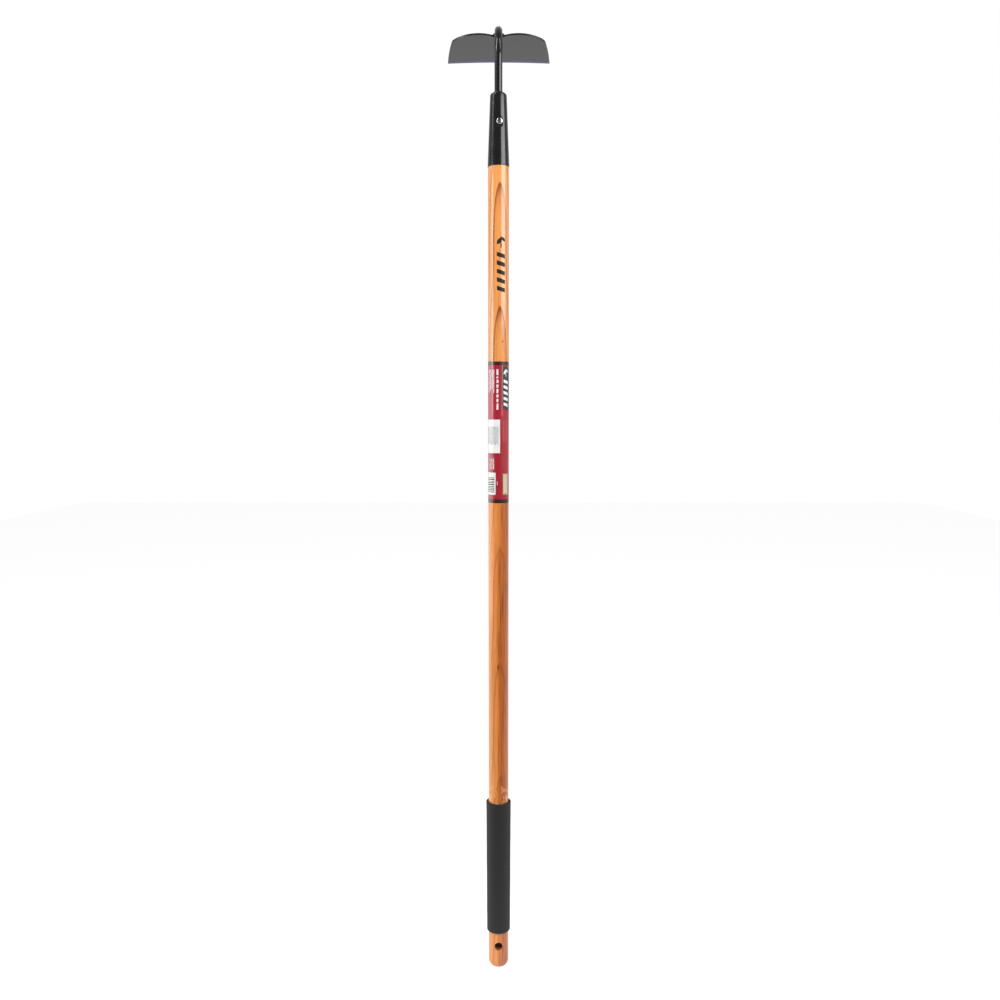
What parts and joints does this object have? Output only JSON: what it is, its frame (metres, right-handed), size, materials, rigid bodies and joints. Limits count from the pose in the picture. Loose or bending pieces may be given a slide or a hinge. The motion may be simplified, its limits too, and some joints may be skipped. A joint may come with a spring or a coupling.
{
  "type": "draw hoe",
  "caption": "Long-handled garden draw hoe: a rounded, dished blade on a bent steel neck, a tapered socket with a screw, a wood pole, a label and a foam grip.",
  "frame": {"origin": "centre of the hang hole near the butt, on the pole's axis", "axes": "+Z along the pole from the butt to the head; +Y the way the blade reaches; +X to the right of someone looking along +Y"},
  "size_m": [0.1588, 0.1432, 1.4293],
  "materials": {
    "blade_steel": "satin grey-black coat on sheet steel",
    "black_steel": "gloss black coat on round bar",
    "weld_metal": "black coat over a rippled weld bead",
    "socket_enamel": "gloss black coat on a drawn tube",
    "zinc_screw": "bright zinc plate",
    "lacquered_wood": "turned ash under clear lacquer",
    "grip_foam": "matte black closed-cell foam",
    "printed_label": "red printed film wrap"
  },
  "bodies": {
    "root": {"blade": "blade_steel", "gooseneck": "black_steel", "blade_weld": "weld_metal", "socket": "socket_enamel", "neck_weld": "weld_metal", "socket_screw": "zinc_screw", "pole": "lacquered_wood", "foam_grip": "grip_foam", "label": "printed_label"}
  },
  "joints": []
}
